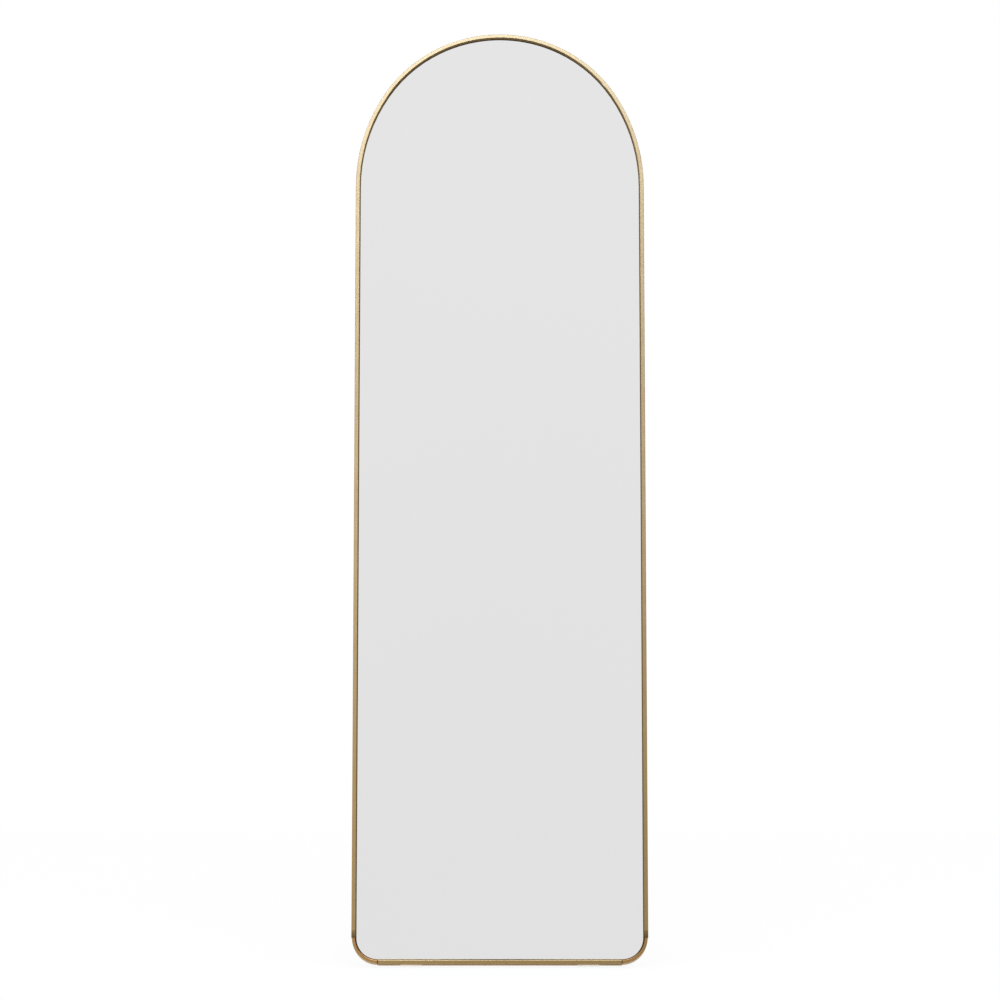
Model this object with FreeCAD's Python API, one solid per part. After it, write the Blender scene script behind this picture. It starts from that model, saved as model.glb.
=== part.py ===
import FreeCAD, Part
import math
import os

# Arched full-length mirror that stands on the floor, leaning back on a folding U-shaped stand.
# All sizes are in millimetres. The mirror is drawn in its own frame first: X across, Y back from
# the front of the lip, Z up along the glass. It is then leaned back and set on the floor, with
# +Z up, the glass facing -Y and the origin at the middle of its footprint.

Vector = FreeCAD.Vector
CENTRE = Vector(0, 0, 0)
ACROSS = Vector(1, 0, 0)
BACK = Vector(0, 1, 0)
UP = Vector(0, 0, 1)

# Overall form
mirror_width = 500.0
mirror_length = 1624.0
corner_radius = 44.0
lean_angle = 11.0
stand_opening = 17.0

# Radii of the arch as shares of the width, and the stand's pivot as a share of the length
haunch_share = 0.6
crown_share = 0.48
pivot_share = 0.6466

# Section of the frame extrusion: a lip in front, a groove for the sheets, a tube behind
lip_width = 8.6
lip_height = 4.8
lip_rounding = 3.0
outer_wall = 1.4
inner_wall = 1.2
tube_depth = 16.2
front_rounding = 1.2
rear_rounding = 0.6

# Sheets in the groove, from the front to the back
tape_thickness = 0.5
tape_setback = 1.0
glass_thickness = 4.0
film_thickness = 0.3
foam_thickness = 1.0
foam_setback = 4.0
board_thickness = 3.0
groove_clearance = 0.2
edge_clearance = 1.6

# Cast corner elbows
elbow_step = 1.0
elbow_face_step = 0.4
joint_gap = 0.5
spigot_length = 24.0
spigot_clearance = 0.1
spigot_taper = 1.5
corner_screw_place = 12.0

# Screws
wall_screw_radius = 1.75
wall_screw_length = 6.4
wall_screw_head_radius = 3.2
wall_screw_head_height = 1.8
corner_screw_radius = 1.45
corner_screw_length = 12.0
corner_screw_head_radius = 2.8
corner_screw_head_height = 1.5
thread_clearance = 0.05
recess_width = 0.9
recess_depth = 0.9
recess_span_share = 1.2
rim_share = 0.4

# Stand brackets on the inner walls of the side rails
pivot_from_rear = 7.0
bracket_thickness = 2.0
bracket_front_gap = 1.2
bracket_rear_gap = 1.0
bracket_rounding = 3.0
bracket_below_pivot = 10.0
bracket_above_pivot = 52.0
lower_bracket_screw = 24.0
upper_bracket_screw = 43.0
stop_thickness = 1.5
stop_reach = 10.0
stop_gap = 0.1

# Pivot rivets and washers
rivet_radius = 3.0
rivet_head_radius = 5.0
rivet_head_height = 2.2
rivet_tail_radius = 4.2
rivet_tail_height = 1.0
rivet_tail_clearance = 0.6
bore_clearance = 0.05
washer_radius = 5.5
washer_thickness = 0.5
running_gap = 0.1

# Moulded ends of the stand's legs
leg_end_thickness = 12.0
leg_end_width = 10.0
leg_end_below_pivot = 20.0
heel_front = 3.0
heel_shoulder = 6.0
heel_height = 11.0
heel_crown = 2.8
collar_length = 4.0
plug_length = 26.0
plug_clearance = 0.1

# Stand tube, its rivets and its rubber feet
tube_radius = 6.0
tube_wall = 1.0
tube_bend_radius = 60.0
leg_rivet_radius = 1.6
leg_rivet_head_radius = 2.6
leg_rivet_head_height = 1.2
leg_rivet_place = 12.0
sleeve_thickness = 1.0
sleeve_length = 64.0
sleeve_from_bend = 22.8
sleeve_clearance = 0.05
sleeve_bevel = 0.4

# Brace across the back, above the stand's hinge
brace_above_pivot = 84.0
brace_width = 20.0
brace_depth = 10.0
brace_wall = 1.2
brace_end_clearance = 0.2
brace_driver_room = 18.0
brace_tab_rear_gap = 2.0

# Wall hangers with keyholes
hanger_below_spring = 60.0
hanger_width = 24.0
hanger_length = 44.0
hanger_thickness = 1.5
hanger_rounding = 5.0
hanger_screw_spacing = 26.0
keyhole_radius = 5.0
keyhole_below_middle = 4.0
keyhole_from_rail = 13.0
keyhole_slot_radius = 2.4
keyhole_slot_rise = 9.0

# Clear pads under the bottom rail
pad_length = 36.0
pad_width = 6.0
pad_thickness = 1.2
pad_from_elbow = 55.5

# Worked out from the sizes above
half_width = mirror_width / 2
rail_face = half_width - lip_width
inner_skin = lip_width - inner_wall
rail_middle = (outer_wall + inner_skin) / 2

glass_front = lip_height + tape_thickness
film_front = glass_front + glass_thickness
foam_front = film_front + film_thickness
board_front = foam_front + foam_thickness
tube_front = board_front + board_thickness + groove_clearance
frame_depth = tube_front + tube_depth
sheet_inset = outer_wall + edge_clearance
fitting_depth = (tube_front + frame_depth) / 2

haunch_radius = haunch_share * mirror_width
crown_radius = crown_share * mirror_width
haunch_reach = haunch_radius - half_width
crown_rise = math.sqrt((haunch_radius - crown_radius) ** 2 - haunch_reach**2)
haunch_angle = math.degrees(math.atan2(crown_rise, haunch_reach))
crown_centre = Vector(0, 0, mirror_length - crown_radius)
haunch_centre = Vector(haunch_reach, 0, mirror_length - crown_radius - crown_rise)
spring_height = haunch_centre.z
corner_centre = Vector(corner_radius - half_width, 0, corner_radius)
leg_start = corner_radius + joint_gap
bar_end = half_width - corner_radius - joint_gap
pad_place = bar_end - pad_from_elbow
hanger_height = spring_height - hanger_below_spring

pivot_depth = frame_depth - pivot_from_rear
pivot_height = pivot_share * mirror_length
pivot = Vector(0, pivot_depth, pivot_height)
bracket_face = rail_face - bracket_thickness
leg_outer_face = bracket_face - washer_thickness - running_gap
leg_inner_face = leg_outer_face - leg_end_thickness
leg_place = (leg_outer_face + leg_inner_face) / 2
sleeve_radius = tube_radius + sleeve_clearance + sleeve_thickness
sleeve_place = leg_place - tube_bend_radius - sleeve_from_bend - sleeve_length / 2

lean = math.radians(lean_angle)
leg_slope = math.radians(stand_opening - lean_angle)
pivot_above_floor = pad_thickness + pivot_height * math.cos(lean) + pivot_from_rear * math.sin(lean)
leg_length = (pivot_above_floor - sleeve_radius) / math.cos(leg_slope)
tube_top = pivot_height - leg_end_below_pivot
floor_bar_height = pivot_height - leg_length


# Drawing helpers


def line(start, end):
    return Part.makeLine(start, end)


def arc(start, middle, end):
    return Part.Arc(start, middle, end).toShape()


def polar(centre, radius, degrees):
    """Point in a plane parallel to the glass, at an angle from +X towards +Z."""
    turn = math.radians(degrees)
    return centre + Vector(radius * math.cos(turn), 0, radius * math.sin(turn))


def quarter_middle(rounding):
    """How far the middle of a rounded edge stays from each of its two faces."""
    return rounding * (1 - math.sqrt(0.5))


def cylinder(start, direction, radius, length):
    return Part.makeCylinder(radius, length, start, direction)


def box(corner, across, back, up):
    return Part.makeBox(across, back, up, corner)


def mirrored(shape):
    """The same piece on the other side of the middle."""
    return shape.mirror(CENTRE, ACROSS)


def mirrored_point(point):
    return Vector(-point.x, point.y, point.z)


def edges_along(shape, direction):
    return [edge for edge in shape.Edges if abs(edge.tangentAt(edge.FirstParameter) * direction) > 0.99]


# Frame


def section(step=0.0, face_step=0.0):
    """Solid section of the extrusion at the left side rail, at the height of the origin."""

    def at(inward, depth):
        return Vector(inward - half_width, depth, 0)

    nose = quarter_middle(front_rounding)
    brow = quarter_middle(lip_rounding)
    heel = quarter_middle(rear_rounding)
    front = face_step + front_rounding
    rear = frame_depth - rear_rounding
    groove_floor = outer_wall + step
    face_start = at(step + front_rounding, face_step)
    face_end = at(lip_width - lip_rounding, face_step)
    corners = [
        at(lip_width, face_step + lip_rounding),
        at(lip_width, lip_height),
        at(groove_floor, lip_height),
        at(groove_floor, tube_front),
        at(lip_width, tube_front),
        at(lip_width, frame_depth),
        at(step + rear_rounding, frame_depth),
    ]
    edges = [line(start, end) for start, end in zip(corners, corners[1:])]
    edges.append(arc(corners[-1], at(step + heel, frame_depth - heel), at(step, rear)))
    edges.append(line(at(step, rear), at(step, front)))
    edges.append(arc(at(step, front), at(step + nose, face_step + nose), face_start))
    edges.append(line(face_start, face_end))
    edges.append(arc(face_end, at(lip_width - brow, face_step + brow), corners[0]))
    return Part.Face(Part.Wire(edges))


def hollow_section():
    """Section of the extrusion with a chamber in its lip and one in its tube."""

    def at(inward, depth):
        return Vector(inward - half_width, depth, 0)

    inner_rounding = lip_rounding - inner_wall
    brow = quarter_middle(inner_rounding)
    corners = [
        at(inner_skin, lip_rounding),
        at(inner_skin, lip_height - inner_wall),
        at(outer_wall, lip_height - inner_wall),
        at(outer_wall, inner_wall),
        at(inner_skin - inner_rounding, inner_wall),
    ]
    edges = [line(start, end) for start, end in zip(corners, corners[1:])]
    edges.append(arc(corners[-1], at(inner_skin - brow, inner_wall + brow), corners[0]))
    lip_chamber = Part.Face(Part.Wire(edges))
    front = tube_front + inner_wall
    rear = frame_depth - inner_wall
    tube_corners = [at(outer_wall, front), at(inner_skin, front), at(inner_skin, rear), at(outer_wall, rear)]
    tube_chamber = Part.Face(Part.makePolygon(tube_corners + tube_corners[:1]))
    return section().cut([lip_chamber, tube_chamber]).Faces[0]


def side_joint_screw_places():
    """Points on the frame's back where screws hold the elbows in the side rails, left first."""
    side = half_width - rail_middle
    return [Vector(sign * side, frame_depth, leg_start + corner_screw_place) for sign in (-1, 1)]


def bar_joint_screw_places():
    """The same for the bottom rail, left first."""
    reach = bar_end - corner_screw_place
    return [Vector(sign * reach, frame_depth, rail_middle) for sign in (-1, 1)]


def bracket_screw_places():
    """Points on the left rail's inner wall, as are the next two."""
    heights = [pivot_height + lower_bracket_screw, pivot_height + upper_bracket_screw]
    return [Vector(-rail_face, fitting_depth, height) for height in heights]


def brace_screw_places():
    return [Vector(-rail_face, fitting_depth, pivot_height + brace_above_pivot)]


def hanger_screw_places():
    reach = hanger_screw_spacing / 2
    return [Vector(-rail_face, fitting_depth, hanger_height + side * reach) for side in (-1, 1)]


def wall_hole(place, radius):
    """Hole through the left rail's inner wall."""
    return cylinder(place + ACROSS * inner_wall, -ACROSS, radius, 3 * inner_wall)


def joint_hole(place, length):
    return cylinder(place, -BACK, corner_screw_radius + thread_clearance, length)


def arch_rail():
    """Side rails and arch: one extrusion bent round two haunches and a crown."""
    profile = hollow_section()
    leg = profile.translated(UP * leg_start).extrude(UP * (spring_height - leg_start))
    spring = profile.translated(UP * spring_height)
    haunch = spring.revolve(haunch_centre, BACK, haunch_angle)
    crown_start = spring.rotated(haunch_centre, BACK, haunch_angle)
    crown = crown_start.revolve(crown_centre, BACK, 180 - 2 * haunch_angle)
    rail = leg.multiFuse([haunch, crown, mirrored(haunch), mirrored(leg)]).removeSplitter()
    screws = bracket_screw_places() + brace_screw_places() + hanger_screw_places()
    holes = [wall_hole(place, wall_screw_radius + thread_clearance) for place in screws]
    rivet_place = pivot - ACROSS * rail_face
    holes.append(wall_hole(rivet_place, rivet_tail_radius + rivet_tail_clearance))
    holes += [mirrored(hole) for hole in holes]
    holes += [joint_hole(place, 2 * inner_wall) for place in side_joint_screw_places()]
    return rail.cut(holes)


def bottom_rail():
    """Straight length of the same extrusion between the elbows."""
    profile = hollow_section().translated(ACROSS * half_width)
    profile = profile.rotated(CENTRE, BACK, -90).translated(ACROSS * -bar_end)
    bar = profile.extrude(ACROSS * (2 * bar_end))
    return bar.cut([joint_hole(place, 2 * inner_wall) for place in bar_joint_screw_places()])


def side_spigot():
    """Tongue of the left elbow that enters the side rail's tube."""
    near = outer_wall + spigot_clearance
    front = tube_front + inner_wall + spigot_clearance
    size = (inner_skin - near - spigot_clearance, tube_depth - 2 * (inner_wall + spigot_clearance))
    tongue = box(Vector(near - half_width, front, corner_radius), size[0], size[1], spigot_length)
    top = corner_radius + spigot_length
    rim = [edge for edge in tongue.Edges if edge.CenterOfMass.z > top - spigot_taper / 2]
    return tongue.makeChamfer(spigot_taper, rim)


def left_corner():
    """Cast elbow that turns the frame from the side rail into the bottom rail."""
    profile = section(elbow_step, elbow_face_step).translated(UP * corner_radius)
    bend = profile.revolve(corner_centre, -BACK, 90)
    upper = side_spigot()
    lower = upper.mirror(corner_centre, UP).rotated(corner_centre, -BACK, 90)
    body = bend.multiFuse([upper, lower])
    places = [side_joint_screw_places()[0], bar_joint_screw_places()[0]]
    return body.cut([joint_hole(place, corner_screw_length + thread_clearance) for place in places])


# Sheets in the groove


def outline(inset):
    """The mirror's arched outline, moved in from the frame's outer face."""
    side = half_width - inset
    spring = Vector(side, 0, spring_height)
    corner = mirrored_point(corner_centre)
    shoulder = mirrored_point(haunch_centre)
    haunch_end = polar(crown_centre, crown_radius - inset, haunch_angle)
    haunch_middle = polar(shoulder, haunch_radius - inset, haunch_angle / 2)
    corner_points = [polar(corner, corner_radius - inset, degrees) for degrees in (-90, -45, 0)]
    right = [
        arc(*corner_points),
        line(corner_points[-1], spring),
        arc(spring, haunch_middle, haunch_end),
    ]
    top = arc(haunch_end, polar(crown_centre, crown_radius - inset, 90), mirrored_point(haunch_end))
    foot = line(mirrored_point(corner_points[0]), corner_points[0])
    left = [mirrored(edge) for edge in right]
    return Part.Wire(Part.__sortEdges__(right + [top] + left + [foot]))


def sheet(inset, front, thickness):
    """Flat sheet that fills the outline."""
    return Part.Face(outline(inset)).translated(BACK * front).extrude(BACK * thickness)


def glazing_tape():
    """Strip that follows the lip, between it and the glass."""
    strip = sheet(sheet_inset, lip_height, tape_thickness)
    return strip.cut(sheet(lip_width - tape_setback, lip_height, tape_thickness))


# Screws and rivets


def turned(corners, crown, place, direction):
    """Solid turned about an axis from place along direction, closed by a domed crown.

    Each corner is a radius and a distance along the axis, from the dome's rim to the tip.
    """
    points = [Vector(radius, 0, along) for radius, along in corners]
    rim = points[0]
    rise = rim.z - crown
    dome_radius = (rim.x**2 + rise**2) / (2 * rise)
    half_turn = math.asin(rim.x / dome_radius) / 2
    dome_middle = Vector(
        dome_radius * math.sin(half_turn),
        0,
        crown + dome_radius * (1 - math.cos(half_turn)),
    )
    top = Vector(0, 0, crown)
    edges = [line(start, end) for start, end in zip(points, points[1:] + [top])]
    edges.append(arc(top, dome_middle, rim))
    body = Part.Face(Part.Wire(edges)).revolve(CENTRE, UP, 360)
    body.Placement = FreeCAD.Placement(place, FreeCAD.Rotation(UP, direction))
    return body


def screw(place, direction, radius, length, head_radius, head_height):
    """Pan-head screw with a cross recess: place is under its head, direction leads inwards."""
    corners = [
        (head_radius, -rim_share * head_height),
        (head_radius, 0),
        (radius, 0),
        (radius, length - radius),
        (0, length),
    ]
    slot_length = recess_span_share * head_radius
    slot = box(Vector(-slot_length / 2, -recess_width / 2, 0), slot_length, recess_width, recess_depth)
    cross = slot.fuse(slot.rotated(CENTRE, UP, 90)).translated(UP * -head_height)
    cross.Placement = FreeCAD.Placement(place, FreeCAD.Rotation(UP, direction)) * cross.Placement
    return turned(corners, -head_height, place, direction).cut(cross)


def corner_screws():
    sizes = (corner_screw_radius, corner_screw_length, corner_screw_head_radius, corner_screw_head_height)
    places = side_joint_screw_places() + bar_joint_screw_places()
    return Part.makeCompound([screw(place, -BACK, *sizes) for place in places])


def wall_screws(places, fitting_thickness):
    """Screws from the recess outwards through a fitting into both rails' inner walls."""
    sizes = (wall_screw_radius, wall_screw_length, wall_screw_head_radius, wall_screw_head_height)
    left = [screw(place + ACROSS * fitting_thickness, -ACROSS, *sizes) for place in places]
    return Part.makeCompound(left + [mirrored(each) for each in left])


def left_pivot_rivet():
    """Rivet that the leg turns on: domed head inside, tail in the rail's clearance hole."""
    head = running_gap - leg_inner_face
    shank = rail_face + head
    corners = [
        (rivet_head_radius, -rim_share * rivet_head_height),
        (rivet_head_radius, 0),
        (rivet_radius, 0),
        (rivet_radius, shank),
        (rivet_tail_radius, shank),
        (rivet_tail_radius, shank + rivet_tail_height),
        (0, shank + rivet_tail_height),
    ]
    return turned(corners, -rivet_head_height, pivot + ACROSS * head, -ACROSS)


def pivot_washers():
    place = pivot - ACROSS * bracket_face
    ring = cylinder(place, ACROSS, washer_radius, washer_thickness)
    ring = ring.cut(cylinder(place, ACROSS, rivet_radius + bore_clearance, washer_thickness))
    return Part.makeCompound([ring, mirrored(ring)])


# Fittings screwed to the rails


def opened(shape):
    """Carry a shape drawn with the stand folded to where it is with the stand open."""
    return shape.rotated(pivot, ACROSS, stand_opening)


def left_bracket():
    """Stamped plate on the rail's inner wall, with the pivot hole and a bent stop lug."""
    front = tube_front + bracket_front_gap
    low = pivot_height - bracket_below_pivot
    width = tube_depth - bracket_front_gap - bracket_rear_gap
    height = bracket_below_pivot + bracket_above_pivot
    plate = box(Vector(-rail_face, front, low), bracket_thickness, width, height)
    plate = plate.makeFillet(bracket_rounding, edges_along(plate, ACROSS))
    lug_front = pivot_depth - heel_front - stop_gap - stop_thickness
    lug_corner = Vector(-rail_face, lug_front, pivot_height + heel_shoulder)
    lug_height = heel_height - heel_shoulder
    lug = box(lug_corner, bracket_thickness + stop_reach, stop_thickness, lug_height)
    rivet_place = pivot - ACROSS * rail_face
    holes = [cylinder(rivet_place, ACROSS, rivet_radius + bore_clearance, bracket_thickness)]
    for place in bracket_screw_places():
        holes.append(cylinder(place, ACROSS, wall_screw_radius + thread_clearance, bracket_thickness))
    return plate.fuse(opened(lug)).cut(holes)


def back_brace():
    """Channel behind the board from rail to rail, with a bent tab at each end."""
    reach = rail_face - brace_end_clearance
    low = pivot_height + brace_above_pivot - brace_width / 2
    web = box(Vector(-reach, tube_front, low), 2 * reach, brace_wall, brace_width)
    flange_reach = reach - brace_driver_room
    flange_corner = Vector(-flange_reach, tube_front, low)
    flange = box(flange_corner, 2 * flange_reach, brace_depth, brace_wall)
    far_flange = flange.translated(UP * (brace_width - brace_wall))
    tab_depth = tube_depth - brace_tab_rear_gap
    tab = box(Vector(-reach, tube_front, low), brace_wall, tab_depth, brace_width)
    body = web.multiFuse([flange, far_flange, tab, mirrored(tab)])
    holes = []
    for place in brace_screw_places():
        hole = cylinder(place, ACROSS, wall_screw_radius + thread_clearance, 2 * brace_wall)
        holes += [hole, mirrored(hole)]
    return body.cut(holes)


def keyhole_centre():
    """Middle of the left keyhole's round part, on the frame's back."""
    return Vector(keyhole_from_rail - rail_face, frame_depth, hanger_height - keyhole_below_middle)


def left_hanger():
    """Steel angle on the rail's inner wall, with a keyhole in the plane of the frame's back."""
    low = hanger_height - hanger_length / 2
    wall_corner = Vector(-rail_face, tube_front + bracket_front_gap, low)
    wall = box(wall_corner, hanger_thickness, tube_depth - bracket_front_gap, hanger_length)
    flange_corner = Vector(-rail_face, frame_depth - hanger_thickness, low)
    flange = box(flange_corner, hanger_width, hanger_thickness, hanger_length)
    far = [edge for edge in edges_along(flange, BACK) if edge.CenterOfMass.x > -rail_face + hanger_width / 2]
    flange = flange.makeFillet(hanger_rounding, far)
    centre = keyhole_centre()
    top = centre + UP * keyhole_slot_rise
    slot_corner = centre - ACROSS * keyhole_slot_radius - BACK * hanger_thickness
    cuts = [
        cylinder(centre, -BACK, keyhole_radius, hanger_thickness),
        cylinder(top, -BACK, keyhole_slot_radius, hanger_thickness),
        box(slot_corner, 2 * keyhole_slot_radius, hanger_thickness, keyhole_slot_rise),
    ]
    for place in hanger_screw_places():
        cuts.append(cylinder(place, ACROSS, wall_screw_radius + thread_clearance, hanger_thickness))
    return wall.fuse(flange).cut(cuts)


# Stand


def leg_rivet_start():
    """Front of the left leg's tube where its rivet enters, with the stand folded."""
    return Vector(-leg_place, pivot_depth - tube_radius, tube_top - leg_rivet_place)


def leg_rivet_hole():
    return cylinder(leg_rivet_start(), BACK, leg_rivet_radius + thread_clearance, 2 * tube_radius)


def left_leg_end():
    """Moulded leg end: pivot eye, heel that meets the stop lug, collar and plug for the tube."""
    half = leg_end_width / 2
    step = half - heel_front

    def at(back, up):
        return pivot + Vector(-leg_outer_face, back, up)

    corners = [
        at(half, heel_height),
        at(half, -leg_end_below_pivot),
        at(-half, -leg_end_below_pivot),
        at(-half, heel_shoulder - step),
        at(-heel_front, heel_shoulder),
        at(-heel_front, heel_height),
    ]
    edges = [line(start, end) for start, end in zip(corners, corners[1:])]
    edges.append(arc(corners[-1], at(step / 2, heel_height + heel_crown), corners[0]))
    block = Part.Face(Part.Wire(edges)).extrude(ACROSS * leg_end_thickness)
    shoulder = Vector(-leg_place, pivot_depth, tube_top)
    collar = cylinder(shoulder, UP, tube_radius, collar_length)
    plug = cylinder(shoulder, -UP, tube_radius - tube_wall - plug_clearance, plug_length)
    eye = cylinder(at(0, 0), ACROSS, rivet_radius + bore_clearance, leg_end_thickness)
    return opened(block.multiFuse([collar, plug]).cut([eye, leg_rivet_hole()]))


def leg_rivets():
    """Rivets from front to back through the tube and the leg ends' plugs."""
    start = leg_rivet_start()
    rivet = cylinder(start, BACK, leg_rivet_radius, 2 * tube_radius)
    seat = tube_radius - math.sqrt(tube_radius**2 - leg_rivet_head_radius**2)
    rear = start + BACK * (2 * tube_radius)
    heads = [
        cylinder(start + BACK * seat, -BACK, leg_rivet_head_radius, leg_rivet_head_height),
        cylinder(rear - BACK * seat, BACK, leg_rivet_head_radius, leg_rivet_head_height),
    ]
    bore = cylinder(start + BACK * tube_radius + UP * tube_radius, -UP, tube_radius, 2 * tube_radius)
    heads = [head.cut(bore) for head in heads]
    rivet = opened(rivet.multiFuse(heads))
    return Part.makeCompound([rivet, mirrored(rivet)])


def stand_tube():
    """One steel tube, folded: down one leg, across the floor bar and up the other leg."""
    bend = tube_bend_radius
    low = floor_bar_height
    leg_top = Vector(-leg_place, pivot_depth, tube_top)
    left_bend = Vector(bend - leg_place, pivot_depth, low + bend)
    right_bend = mirrored_point(left_bend)
    left_arc = [polar(left_bend, bend, degrees) for degrees in (180, 225, 270)]
    right_arc = [polar(right_bend, bend, degrees) for degrees in (270, 315, 360)]
    route = [
        line(leg_top, left_arc[0]),
        arc(*left_arc),
        line(left_arc[-1], right_arc[0]),
        arc(*right_arc),
        line(right_arc[-1], mirrored_point(leg_top)),
    ]
    path = Part.Wire(route)

    def swept(radius):
        ring = Part.Wire(Part.makeCircle(radius, leg_top, UP))
        return path.makePipeShell([ring], True, False)

    tube = swept(tube_radius).cut(swept(tube_radius - tube_wall))
    return opened(tube.cut([leg_rivet_hole(), mirrored(leg_rivet_hole())]))


def left_foot_sleeve():
    """Rubber sleeve on the floor bar."""
    start = Vector(-sleeve_place - sleeve_length / 2, pivot_depth, floor_bar_height)
    sleeve = cylinder(start, ACROSS, sleeve_radius, sleeve_length)
    rims = [edge for edge in sleeve.Edges if edge.Closed]
    sleeve = sleeve.makeChamfer(sleeve_bevel, rims)
    return opened(sleeve.cut(cylinder(start, ACROSS, tube_radius + sleeve_clearance, sleeve_length)))


# Standing on the floor


def leaned(shape):
    """Lean the mirror back about its rear lower edge, which rests on the pads."""
    upright = shape.translated(BACK * -frame_depth)
    return upright.rotated(CENTRE, ACROSS, -lean_angle).translated(UP * pad_thickness)


def left_foot_pad():
    """Clear pad under the bottom rail's rear edge, cut flat to the floor."""
    start = -pad_place - pad_length / 2
    front = -pad_width * math.cos(lean)
    front_top = pad_thickness + pad_width * math.sin(lean)
    corners = [
        Vector(start, 0, 0),
        Vector(start, front, 0),
        Vector(start, front, front_top),
        Vector(start, 0, pad_thickness),
    ]
    return Part.Face(Part.makePolygon(corners + corners[:1])).extrude(ACROSS * pad_length)


def mirror_pieces():
    """Every piece in the mirror's own frame, by node name."""
    pieces = {
        "arch_rail": arch_rail(),
        "bottom_rail": bottom_rail(),
        "left_corner": left_corner(),
        "corner_screws": corner_screws(),
        "glazing_tape": glazing_tape(),
        "mirror_glass": sheet(sheet_inset, glass_front, glass_thickness),
        "safety_film": sheet(sheet_inset, film_front, film_thickness),
        "foam_sheet": sheet(sheet_inset + foam_setback, foam_front, foam_thickness),
        "back_board": sheet(sheet_inset, board_front, board_thickness),
        "left_bracket": left_bracket(),
        "bracket_screws": wall_screws(bracket_screw_places(), bracket_thickness),
        "left_pivot_rivet": left_pivot_rivet(),
        "pivot_washers": pivot_washers(),
        "back_brace": back_brace(),
        "brace_screws": wall_screws(brace_screw_places(), brace_end_clearance + brace_wall),
        "left_hanger": left_hanger(),
        "hanger_screws": wall_screws(hanger_screw_places(), hanger_thickness),
        "left_leg_end": left_leg_end(),
        "leg_rivets": leg_rivets(),
        "stand_tube": stand_tube(),
        "left_foot_sleeve": left_foot_sleeve(),
    }
    return pieces


def with_right_hand_pieces(pieces):
    """Add the mirrored piece for each left-hand one."""
    both = {}
    for name, shape in pieces.items():
        both[name] = shape
        if name.startswith("left_"):
            both[name.replace("left_", "right_")] = mirrored(shape)
    return both


def main():
    os.makedirs("parts", exist_ok=True)
    pieces = {name: leaned(shape) for name, shape in mirror_pieces().items()}
    pieces["left_foot_pad"] = left_foot_pad()
    pieces = with_right_hand_pieces(pieces)
    bounds = Part.makeCompound(list(pieces.values())).optimalBoundingBox(False, False)
    to_middle = BACK * (-(bounds.YMin + bounds.YMax) / 2)
    for name, shape in pieces.items():
        shape.translated(to_middle).exportStep("parts/" + name + ".step")
    print("size", round(bounds.XLength, 2), round(bounds.YLength, 2), round(bounds.ZLength, 2))
    for label, place in (("pivot", pivot), ("left keyhole", keyhole_centre())):
        point = leaned(Part.Vertex(place)).translated(to_middle).Point
        print(label, round(point.x, 3), round(point.y, 3), round(point.z, 3))
    print("rear edge of the foot pads at y", round(to_middle.y, 3))


main()
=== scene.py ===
import math

import bpy
from bpy.props import FloatProperty, FloatVectorProperty, PointerProperty
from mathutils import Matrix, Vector


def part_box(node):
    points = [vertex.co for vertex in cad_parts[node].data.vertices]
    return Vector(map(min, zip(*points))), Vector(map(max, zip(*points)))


bl_info = {
    "name": "Leaning Arched Floor Mirror",
    "version": (1, 0, 0),
    "blender": (4, 5, 0),
    "location": "3D View > Sidebar > Floor Mirror",
    "description": "Finishes for an arched floor mirror in a slim gold frame, with its studio",
    "category": "Object",
}

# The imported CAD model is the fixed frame: every solid keeps its mesh and its place.
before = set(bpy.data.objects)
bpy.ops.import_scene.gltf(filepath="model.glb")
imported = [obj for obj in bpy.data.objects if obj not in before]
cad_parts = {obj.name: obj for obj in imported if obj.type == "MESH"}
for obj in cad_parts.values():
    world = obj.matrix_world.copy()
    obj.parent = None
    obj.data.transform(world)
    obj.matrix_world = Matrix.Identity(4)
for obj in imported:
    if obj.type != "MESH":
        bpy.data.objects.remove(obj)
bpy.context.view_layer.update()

# The mirror leans back about its rear lower edge, which rests on the pads.
LEAN = math.radians(11.0)
FOOT = Vector((0.0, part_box("left_foot_pad")[1].y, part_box("bottom_rail")[0].z))

# Places on the mirror in metres, as if it stood upright: aside from its middle, up from its lower
# edge and, below zero, in front of its back.
HALF_WIDTH = 0.25
ELBOW_ASIDE = 0.206
ELBOW_UP = 0.044
SPRING_UP = 1.351
RAIL_END = 0.0445
BAR_END = 0.2055
BAR_LIP_TOP = 0.0095
LIP_BACK = -0.0245

# Painted light and shade on the gold finish, and its other marks: places and sizes in metres, light
# as a share of the plain finish.
# Painted light: the frame is lighter on the left and darker on the right.
PAINTED_LIGHT_LEFT = 1.06
PAINTED_LIGHT_RIGHT = 0.86
# Painted light: the gold turns warmer and deeper between these heights, towards the bottom.
PAINTED_WARM_HEIGHTS = (0.95, 0.15)
PAINTED_WARM_TONE = (0.96, 0.91, 0.79)
# Painted shade: a darker band just above each elbow.
SEAM_SHADE_BAND = 0.0115
SEAM_SHADE_BLUR = 0.001
SEAM_SHADE_LOW = 0.34
SEAM_SHADE_HIGH = 0.72
# Painted shade: half as light on either side of each joint of the bottom rail.
RAIL_JOINT_SHADE = (BAR_END - 0.0009, BAR_END + 0.0002)
ELBOW_JOINT_SHADE = (BAR_END, BAR_END + 0.0013)
JOINT_SHADE_LOSS = 0.5
COPPER_REACH = (0.0402, 0.0366)
# Painted shade: the elbows' line along the glass, as a share of the copper.
COPPER_SHADE_LIGHT = 0.12
PLATING_LIGHT = 1.05
PLATING_DARK = 0.93
GRAZING_TINT = (1.0, 0.85, 0.6)

# How far round the lip towards the glass its painted line of shade fades in, from 0 at the front to
# 1.
RAIL_SHADE_LINE = (0.1, 0.8)
ELBOW_SHADE_LINE = (0.0, 0.42)
# Painted shade: along the bottom rail the line reaches further up the rounding, over its highlight.
BAR_SHADE_REACH = 0.2

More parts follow.
